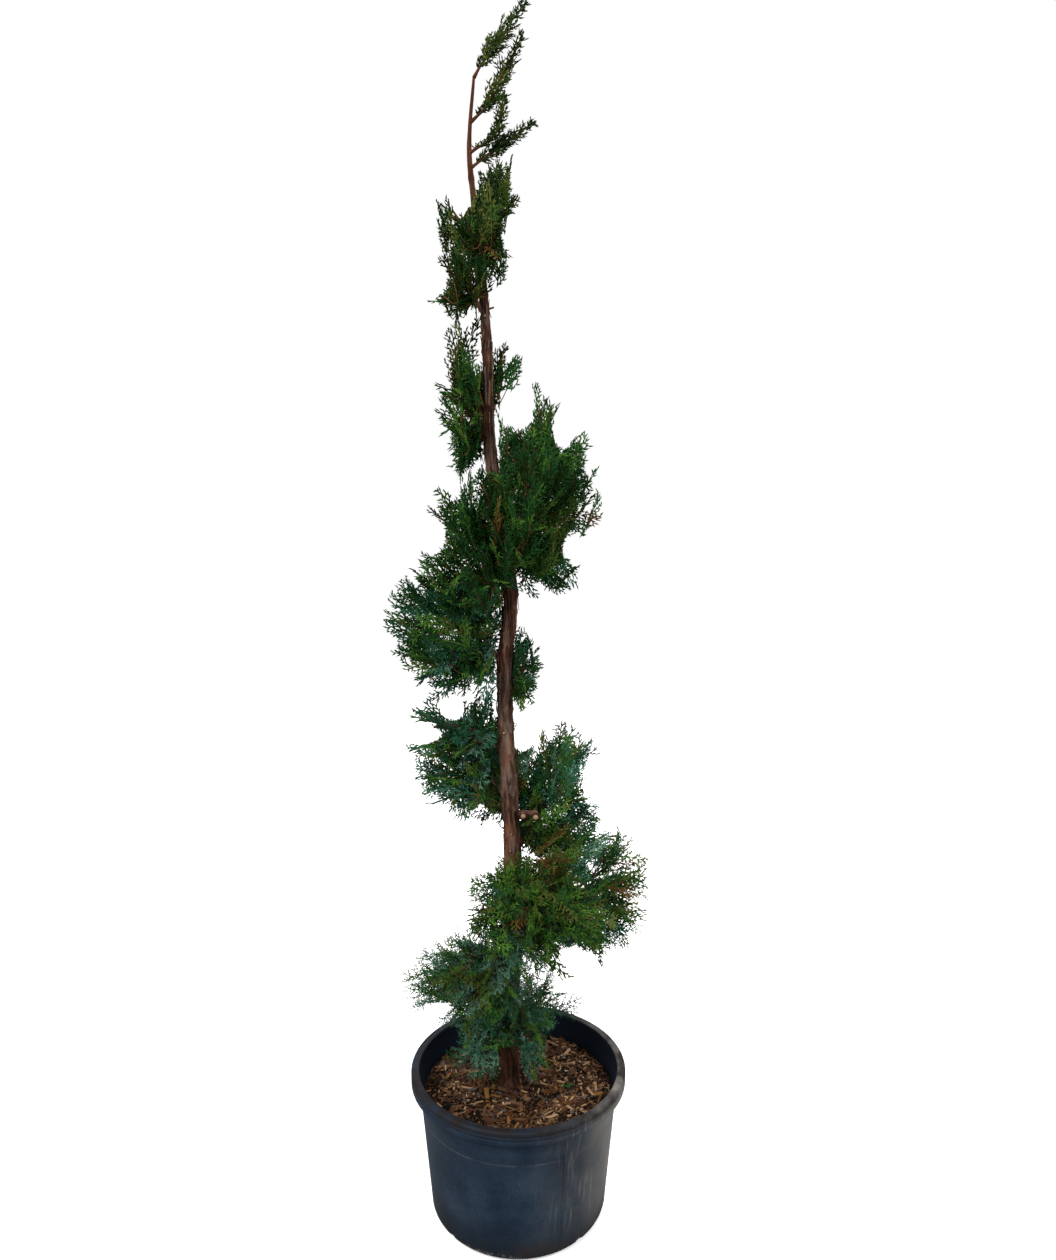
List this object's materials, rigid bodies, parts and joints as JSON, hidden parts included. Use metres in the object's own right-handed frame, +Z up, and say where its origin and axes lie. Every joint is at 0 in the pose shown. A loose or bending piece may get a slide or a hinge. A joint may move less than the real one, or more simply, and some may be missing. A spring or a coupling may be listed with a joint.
{
  "type": "spiral topiary",
  "caption": "Conifer clipped into a rising spiral of feathery foliage round one tall slim trunk, growing in a round tapered black nursery pot filled with bark mix.",
  "frame": {"origin": "centre of the pot's flat underside, on the ground", "axes": "+Z up along the trunk, -Y towards the front that the picture shows, +X to the right of that front"},
  "size_m": [0.4893, 0.432, 2.27],
  "materials": {
    "bark": "rough, peeling in grey and reddish-brown strips",
    "foliage_green": "matt dark green scale leaves with lighter tips",
    "foliage_blue": "matt blue-green needle leaves",
    "pot_plastic": "weathered black plastic with dusty scuffs",
    "bark_mix": "rough bark chips and compost"
  },
  "bodies": {
    "root": {"pot": "pot_plastic", "growing_mix": "bark_mix", "trunk": "bark", "spiral_bough_01": "bark", "spiral_bough_02": "bark", "spiral_bough_03": "bark", "spiral_bough_04": "bark", "spiral_bough_05": "bark", "spiral_bough_06": "bark", "spiral_bough_07": "bark", "spiral_bough_08": "bark", "spiral_bough_09": "bark", "spiral_bough_10": "bark", "spiral_bough_11": "bark", "spiral_bough_12": "bark", "spiral_bough_13": "bark", "spiral_bough_14": "bark", "skirt_bough_1": "bark", "skirt_bough_2": "bark", "skirt_bough_3": "bark", "skirt_bough_4": "bark", "spiral_foliage_01": "foliage_blue", "spiral_foliage_02": "foliage_blue", "spiral_foliage_03": "foliage_green", "spiral_foliage_04": "foliage_green", "spiral_foliage_05": "foliage_green", "spiral_foliage_06": "foliage_green", "spiral_foliage_07": "foliage_green", "spiral_foliage_08": "foliage_green", "spiral_foliage_09": "foliage_green", "spiral_foliage_10": "foliage_green", "spiral_foliage_11": "foliage_green", "spiral_foliage_12": "foliage_green", "spiral_foliage_13": "foliage_green", "spiral_foliage_14": "foliage_green", "spiral_foliage_15": "foliage_green", "spiral_foliage_16": "foliage_green", "spiral_foliage_17": "foliage_green", "spiral_foliage_18": "foliage_green", "spiral_foliage_19": "foliage_green", "spiral_foliage_20": "foliage_green", "skirt_foliage_1": "foliage_blue", "skirt_foliage_2": "foliage_blue", "skirt_foliage_3": "foliage_blue", "skirt_foliage_4": "foliage_blue", "side_foliage_1": "foliage_green", "leading_shoot_1": "foliage_green", "leading_shoot_2": "foliage_green", "leading_shoot_3": "foliage_green", "leading_shoot_4": "foliage_green"}
  },
  "joints": []
}
